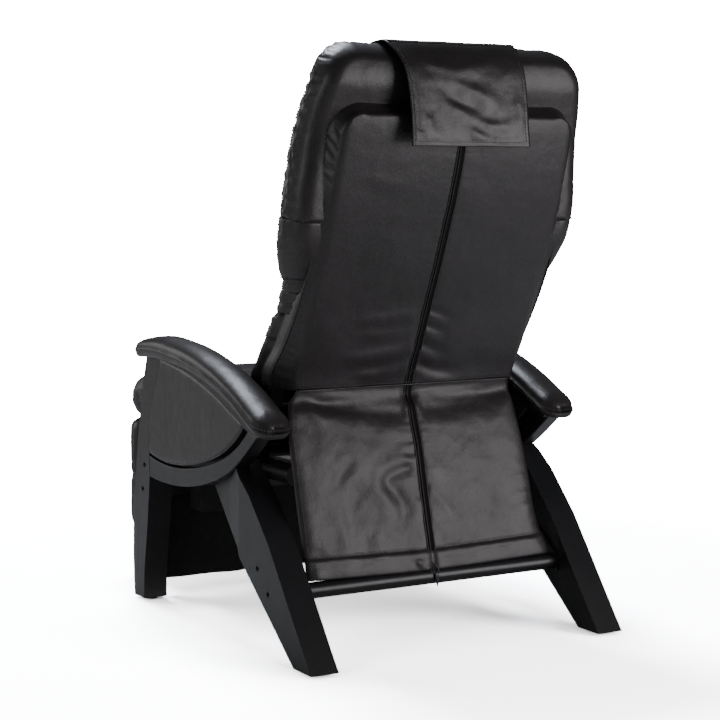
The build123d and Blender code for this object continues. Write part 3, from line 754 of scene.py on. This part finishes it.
flapLine = [(372, 1137), (392, 1137.5), (407, 1132), (419, 1120), (428, 1104), (436, 1080), (441, 1050),
            (445, 1020),
            (448, 990), (450, 965), (450, 947)]
flapLeft = curve((940, 131), (947, 131), (1020, 132), (1080, 138), (1110, 146), (1137, 156), (1145, 158))
flapRight = curve((940, 136), (947, 135), (1080, 130), (1137, 126), (1145, 125))
strapLine = [(404, 1136), (392, 1138.5), (372, 1138), (345, 1135), (320, 1126), (303, 1112), (292, 1095),
             (286, 1080)]
sheetSize = {"thick": 2.2, "cuts": (70, 0, 90)}
flapFolds = [
    {"path": [(110, 1105), (30, 1085), (-60, 1100)], "width": 12, "height": 2.0},
    {"path": [(90, 1070), (10, 1058), (-50, 1030), (-85, 1000)], "width": 13, "height": 2.6},
    {"path": [(60, 1040), (0, 1020), (-40, 1012)], "width": 9, "height": -2.0},
    {"path": [(-10, 1000), (-50, 985), (-110, 990)], "width": 10, "height": 2.4},
    {"path": [(100, 1010), (80, 975), (90, 955)], "width": 14, "height": 1.8},
    {"path": [(20, 985), (-20, 968), (-70, 958)], "width": 12, "height": 2.0},
    {"path": [(-100, 1050), (-115, 1010), (-105, 970)], "width": 12, "height": 1.6},
]


def alongLine(line, t):  # a point and its outward normal part of the way down a line of (y, z)
    runs = np.concatenate([[0], np.cumsum(np.hypot(*np.diff(np.array(line, float), axis=0).T))])
    s = t * runs[-1]
    ys, zs = curve(*zip(runs, [p[0] for p in line])), curve(*zip(runs, [p[1] for p in line]))
    dy, dz = ys(s + 1) - ys(s - 1), zs(s + 1) - zs(s - 1)
    long = math.hypot(dy, dz)
    return ys(s), zs(s), -dz / long, dy / long


def hangingSheet(name, line, left, right, folds, curl, outward):
    bm = fineBlock(sheetSize["cuts"])
    table = [alongLine(line, k / 200) for k in range(201)]
    marks, turns = [], []
    for v in bm.verts:
        u, w, h = v.co
        y, z, ny, nz = table[round((1 - (h + 1) / 2) * 200)]
        ny, nz = ny * outward, nz * outward
        x = mix(-right(z), left(z), (u + 1) / 2)
        off = w * sheetSize["thick"] / 2 + 0.9 * ripple(x, 40, z, 45) + 0.4 * ripple(x, 40, z, 17)
        off += curl * max(0.0, u - 0.55)**1.5 / 0.3 * min(1, max(0, (1128 - z) / 40))
        edge = min(1 - abs(u), 1)
        off -= 0.6 * math.exp(-((edge * 130 - 9) / 2.2)**2)
        if h < 0.5:
            off -= 0.7 * math.exp(-(((h + 1) * 120 - 9) / 2.2)**2)
        v.co = Vector((x, y + ny * off, z + nz * off)) * mm
        marks.append((x, z))
        turns.append(Vector((0, ny, nz)))
    for v, lift, turn in zip(bm.verts, foldDepth(marks, folds), turns):
        v.co += turn * (lift * mm)
    return piece(name, bm, leather)


flap = hangingSheet("headFlapCover", flapLine, flapLeft, flapRight, flapFolds, 9, 1)
strap = hangingSheet("headStrap", strapLine, lambda z: 150, lambda z: 127, [], 0, -1)
bpy.context.view_layer.update()


def onFlap(x, z):
    hit, place, normal, _ = flap.ray_cast(Vector((x, 520, z)) * mm, Vector((0, -1, 0)))
    return (x, place.y / mm + 0.5, z) if hit else (x, 451, z)


flapRows = [[onFlap(flapLeft(z) - 8, z) for z in np.arange(956, 1126, 4)],
            [onFlap(8 - flapRight(z), z) for z in np.arange(956, 1126, 4)],
            [onFlap(x, 955) for x in np.arange(-126, 124, 4)]]
flapStitches = stitchRow("flapStitches", flapRows, thread)
for part in (flap, flapStitches):
    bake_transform(part)
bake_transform(strap)
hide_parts("head_flap")
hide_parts("pillow_strap")

pillowSize = {"half": (186, 27, 74), "corner": 34, "edge": 22, "crown": 6, "bulge": 1, "cuts": (60, 10, 26)}
low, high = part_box("head_pillow")


def pillowPlace(x, depth, z):
    return x, mix(low.y, high.y, 0.5) / mm + depth + 0.23 * z, 1011 + z


pillow = piece("headPillow", cushion(pillowSize, pillowPlace)[0], leather)
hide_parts("head_pillow")
remeshed(pillow, 5)
puffed(pillow, 10)
subdivided(pillow)
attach(pillow, "pillow")
print("stage: head pillow and flap")

# the seat and the leg rest

seatSize = {"half": (276, 44, 272), "corner": 34, "edge": 34, "crown": 6, "bulge": 2, "cuts": (60, 10, 60)}
legrestSize = {"half": (277, 34, 122), "corner": 22, "edge": 30, "crown": 4, "bulge": 1, "cuts": (60, 10, 30)}


def seatPlace(x, depth, z):
    y = z - 206
    drop = max(0, -380 - y)
    return x, y, 410 + depth - 0.0022 * drop**2 - 4 * math.sin(max(0, y + 380) / 450 * math.pi)


def seatSeams(x, y, z, normal):  # two sewn channels across the top and a seam round the sides
    top = max(0, normal.z)
    amount = -7 * top * (math.exp(-((y + 285) / 5)**2) + math.exp(-((y + 110) / 5)**2))
    amount -= 2.5 * (1 - top) * math.exp(-((z - 416 + 0.0022 * max(0, -380 - y)**2) / 3)**2)
    amount += 1.8 * ripple(x, y, z, 16) * math.exp(-abs(z - 416) / 18) * (1 - top)
    return amount + 1.2 * ripple(x, y, z, 80)


def legrestSeams(x, y, z, normal):
    front = max(0, -normal.y)
    amount = -5 * front * math.exp(-((z - 232) / 5)**2)
    amount -= 2.2 * (1 - front) * math.exp(-((y + 448) / 3)**2)
    return (amount + 1.6 * ripple(x, y, z, 15) * math.exp(-abs(y + 448) / 16) * (1 - front)
            + ripple(x, y, z, 70))


seat = piece("seatCushion", cushion(seatSize, seatPlace)[0], leather)
legrestPad = piece("legrestPad", cushion(legrestSize, lambda x, depth, z: (x, -451 - depth, 234 + z))[0],
                   leather)
for obj, node, body, seams, cap in ((seat, "seat_cushion", "seat", seatSeams, 12),
                                    (legrestPad, "legrest_pad", "legrest", legrestSeams, 6)):
    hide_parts(node)
    remeshed(obj, 6)
    puffed(obj, cap)
    reshaped(obj, seams)
    subdivided(obj)
    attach(obj, body)
print("stage: seat and leg rest")

# the arm pads

armSeam = curve((-260, 530), (-209, 536), (-137, 539), (-83, 536), (-9, 529), (73, 513), (147, 492),
                (218, 464),
                (264, 442), (295, 428))
armBand = curve((-260, 20), (-150, 22), (100, 18), (295, 15))
armSize = {"centre": 326.5, "half": 39.5, "front": -252, "rear": 313, "corner": 30, "crown": 25,
           "tuck": 0.09, "cuts": (26, 120, 8)}


def armPoint(u, w, v):
    halfLong = (armSize["rear"] - armSize["front"]) / 2
    x, s = roundCorner(u * armSize["half"], w * halfLong, armSize["half"], halfLong, armSize["corner"])
    t = insideBy(x, s, armSize["half"], halfLong, armSize["corner"])
    y = s + (armSize["rear"] + armSize["front"]) / 2
    if v > 0.999:
        z = (armSeam(y) + armSize["crown"] * mix(0.7, 1, eased(-260, -110, y))
             * math.sqrt(1 - (1 - min(1, t / armSize["half"]))**2))
        z += 0.5 * ripple(x, y, z, 40)
        z -= 1.6 * math.exp(-(t / 1.5)**2)
        if t < 0.5:
            x *= 0.975
    else:
        low = armSeam(y) - armBand(y)
        z = low + 3 * math.exp(-t / 3) if v < -0.999 else mix(low + 3, armSeam(y), (v + 1) / 2)
        tuck = armSize["tuck"] * ((1 - v) / 2)**1.6
        x *= 1 + 0.03 * (1 - v * v) - tuck
        y -= s * tuck * 0.12
    return x, y, z


for side, letter in ((1, "l"), (-1, "r")):
    bm = fineBlock(armSize["cuts"])
    for v in bm.verts:
        x, y, z = armPoint(*v.co)
        v.co = Vector((side * armSize["centre"] + x, y, z)) * mm
    armPad = piece("armPadCover_" + letter, bm, leather)
    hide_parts("arm_pad_" + letter)
    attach(armPad, "root")
    loop = outlineLoop(armSize["half"] + 0.3, (armSize["rear"] - armSize["front"]) / 2 + 0.3,
                       armSize["corner"])
    armMiddle = (armSize["rear"] + armSize["front"]) / 2
    rows = [[(side * armSize["centre"] + x, y + armMiddle, armSeam(y + armMiddle) + rise) for x, y in loop]
            for rise in (4.5, -4)]
    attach(stitchRow("armStitches_" + letter, rows, thread), "root")
print("stage: arm pads")

# the side pads, on both faces of the side panels

padSize = {"long": 1.03, "high": 1.10, "inner": 327, "outer": 352, "welt": 1.7, "weltIn": 4}
for side, letter in ((1, "l"), (-1, "r")):
    node = "side_pads_" + letter
    pad = copyOf(node, "sidePad_" + letter, leather)
    low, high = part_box(node)
    face = max((p for p in pad.data.polygons if abs(p.normal.x) > 0.9 and p.center.x * side > 0.33),
               key=lambda p: p.area)
    for v in pad.data.vertices:  # up to the leg and the arm pad, and just proud of the rail
        x, y, z = v.co
        if x * side > 0.324:
            x = side * mm * mix(padSize["inner"], padSize["outer"], (x * side - 0.328) / 0.014)
        v.co = x, high.y + (y - high.y) * padSize["long"], low.z + (z - low.z) * padSize["high"]
    outline = [Vector(pad.data.vertices[i].co) / mm for i in face.vertices]
    outline = [p - Vector((side * padSize["weltIn"], 0, 0)) for p in outline]
    welt = tube("sidePadWelt_" + letter, outline, padSize["welt"], leather, closed=True)
    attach(welt, "root")
    remeshed(pad, 3, 8)
    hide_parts(node)
    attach(pad, "root")
print("stage: side pads")

# the fabric apron across the front

valanceSize = {"half": 287, "bottom": 38, "top": 251, "y": -248.5, "thick": 0.8, "wave": 4,
               "cuts": (80, 0, 40)}
valance = fineBlock(valanceSize["cuts"])
for v in valance.verts:
    u, w, h = v.co
    along = u * (valanceSize["half"] + 1)
    z = mix(valanceSize["bottom"] + 3 * ripple(along, 0, 0, 90), valanceSize["top"], (h + 1) / 2)
    hang = (valanceSize["top"] - z) / (valanceSize["top"] - valanceSize["bottom"])
    wave = valanceSize["wave"] * hang * (ripple(along, 7, 0, 60) + 0.4 * ripple(along, 7, z * 0.3, 22))
    v.co = Vector((u * valanceSize["half"], valanceSize["y"] + wave + w * valanceSize["thick"], z)) * mm
valance = piece("frontValanceCloth", valance, finishes["dustCloth"])
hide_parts("front_valance")
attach(valance, "root")

# wooden parts with eased edges

easing = {"width": 2.2, "segments": 3, "limit": 12}
for base in ("front_leg", "rear_leg", "arm_rail"):
    for letter in ("l", "r"):
        node = f"{base}_{letter}"
        part = copyOf(node, base.replace("_leg", "Leg").replace("_rail", "Rail") + "_" + letter,
                      finishes["lacquer"])
        edge = part.modifiers.new("edges", "BEVEL")
        edge.width, edge.segments, edge.limit_method = easing["width"] * mm, easing["segments"], "ANGLE"
        edge.angle_limit = math.radians(easing["limit"])
        for f in part.data.polygons:
            f.use_smooth = True
        part.modifiers.new("flat faces", "WEIGHTED_NORMAL").keep_sharp = True
        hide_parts(node)
        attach(part, "root")

# finishes of the CAD nodes that stay

nodeFinish = {
    "lacquer": ["side_panel_l", "side_panel_r", "arm_board_l", "arm_board_r"],
    "plywood": ["legrest_board"],
    "screw": ["leg_bolts", "pivot_pins", "legrest_hinge_pins"],
    "bright": ["recline_rod", "legrest_rod"],
    "aluminium": ["recline_housing", "legrest_housing"],
    "plastic": ["glides", "control_box", "power_inlet", "recline_motor", "legrest_motor", "pivot_spacers"],
    "webbing": ["seat_straps", "back_straps"],
}
for look, names in nodeFinish.items():
    for name in names:
        nodes[name].data.materials.clear()
        nodes[name].data.materials.append(finishes[look])
named = {name for names in nodeFinish.values() for name in names}
for name, node in nodes.items():
    if name not in named and not node.hide_render:
        node.data.materials.clear()
        node.data.materials.append(finishes["steelBlack"])
print("stage: finishes")

# floor, light and camera

studio = {"floorHalf": 60, "floorGrey": 0.7, "floorSeen": 18, "glow": 30, "nearScale": 0.45, "nearEdge": 0.6,
          "fill": 0.08, "fillColour": (0.93, 0.96, 1), "aim": (0, 0.1, 0.6)}
bm = bmesh.new()
bmesh.ops.create_grid(bm, x_segments=2, y_segments=2, size=studio["floorHalf"])
floorLook = bpy.data.materials.new("paleFloor")
floorLook.use_nodes = True
tree = floorLook.node_tree
tree.nodes.remove(tree.nodes["Principled BSDF"])
path = tree.nodes.new("ShaderNodeLightPath")
plain, bright, either = (tree.nodes.new("ShaderNodeBsdfDiffuse"), tree.nodes.new("ShaderNodeBsdfDiffuse"),
                         tree.nodes.new("ShaderNodeMixShader"))
plain.inputs["Color"].default_value = (*[studio["floorGrey"]] * 3, 1)
bright.inputs["Color"].default_value = (*[studio["floorSeen"]] * 3, 1)
far, spread, glow = (tree.nodes.new("ShaderNodeTexGradient"), tree.nodes.new("ShaderNodeMapping"),
                     tree.nodes.new("ShaderNodeEmission"))
where, outer = tree.nodes.new("ShaderNodeTexCoord"), tree.nodes.new("ShaderNodeMixShader")
far.gradient_type = "SPHERICAL"
spread.inputs["Scale"].default_value = [studio["nearScale"]] * 3
glow.inputs["Strength"].default_value = studio["glow"]
fade = tree.nodes.new("ShaderNodeMapRange")
fade.interpolation_type = "SMOOTHSTEP"
fade.inputs["From Max"].default_value = studio["nearEdge"]
tree.links.new(where.outputs["Object"], spread.inputs["Vector"])
tree.links.new(spread.outputs["Vector"], far.inputs["Vector"])
tree.links.new(far.outputs["Fac"], fade.inputs["Value"])
tree.links.new(fade.outputs["Result"], outer.inputs[0])
tree.links.new(glow.outputs[0], outer.inputs[1])
tree.links.new(bright.outputs[0], outer.inputs[2])
tree.links.new(path.outputs["Is Camera Ray"], either.inputs[0])
tree.links.new(plain.outputs[0], either.inputs[1])
tree.links.new(outer.outputs[0], either.inputs[2])
tree.links.new(either.outputs[0], tree.nodes["Material Output"].inputs["Surface"])
floor = piece("floor", bm, floorLook)

world = bpy.data.worlds.new("studio")
bpy.context.scene.world = world
world.use_nodes = True
tree = world.node_tree
path = tree.nodes.new("ShaderNodeLightPath")
seen = tree.nodes.new("ShaderNodeBackground")
either = tree.nodes.new("ShaderNodeMixShader")
tree.nodes["Background"].inputs["Color"].default_value = (*studio["fillColour"], 1)
tree.nodes["Background"].inputs["Strength"].default_value = studio["fill"]
seen.inputs["Color"].default_value = (1, 1, 1, 1)
seen.inputs["Strength"].default_value = studio["glow"]
tree.links.new(path.outputs["Is Camera Ray"], either.inputs[0])
tree.links.new(tree.nodes["Background"].outputs[0], either.inputs[1])
tree.links.new(seen.outputs[0], either.inputs[2])
tree.links.new(either.outputs[0], tree.nodes["World Output"].inputs["Surface"])

softboxes = [
    {"name": "behindRight", "place": (-1.9, 3.1, 0.95), "size": 1.8, "power": 60,
     "colour": (1, 0.965, 0.985)},
    {"name": "frontLeft", "place": (2.4, -3.2, 1.6), "size": 2.2, "power": 38, "colour": (1, 0.98, 0.96)},
    {"name": "left", "place": (3.4, 0.9, 1.3), "size": 1.6, "power": 20, "colour": (1, 0.98, 0.97)},
    {"name": "frontTop", "place": (0.0, -1.1, 3.1), "size": 1.1, "power": 78, "colour": (0.86, 0.91, 1)},
]
for box in softboxes:
    data = bpy.data.lights.new(box["name"], "AREA")
    data.size, data.energy, data.color = box["size"], box["power"], box["colour"]
    lamp = bpy.data.objects.new(box["name"], data)
    lamp.location = box["place"]
    lamp.rotation_euler = (Vector(studio["aim"]) - lamp.location).to_track_quat("-Z", "Y").to_euler()
    bpy.context.scene.collection.objects.link(lamp)

cameraView = {"place": (2.0038, 3.409, 0.9238), "azimuth": 149.09, "pitch": 5.951, "roll": 0.4315,
              "lens": 96.66}
turn, pitch, roll = (math.radians(cameraView[k]) for k in ("azimuth", "pitch", "roll"))
back = Vector((math.sin(turn) * math.cos(pitch), -math.cos(turn) * math.cos(pitch), math.sin(pitch)))
across = Vector((math.cos(turn), math.sin(turn), 0))
rise = back.cross(across)
tilted = across * math.cos(roll) + rise * math.sin(roll)
rise = back.cross(tilted)
data = bpy.data.cameras.new("camera")
data.lens, data.sensor_width, data.clip_end = cameraView["lens"], 36, 200
camera = bpy.data.objects.new("camera", data)
camera.matrix_world = (Matrix.Translation(cameraView["place"])
                       @ Matrix((tilted, rise, back)).transposed().to_4x4())
bpy.context.scene.collection.objects.link(camera)
bpy.context.scene.camera = camera
print("stage: light and camera")

bpy.context.view_layer.update()
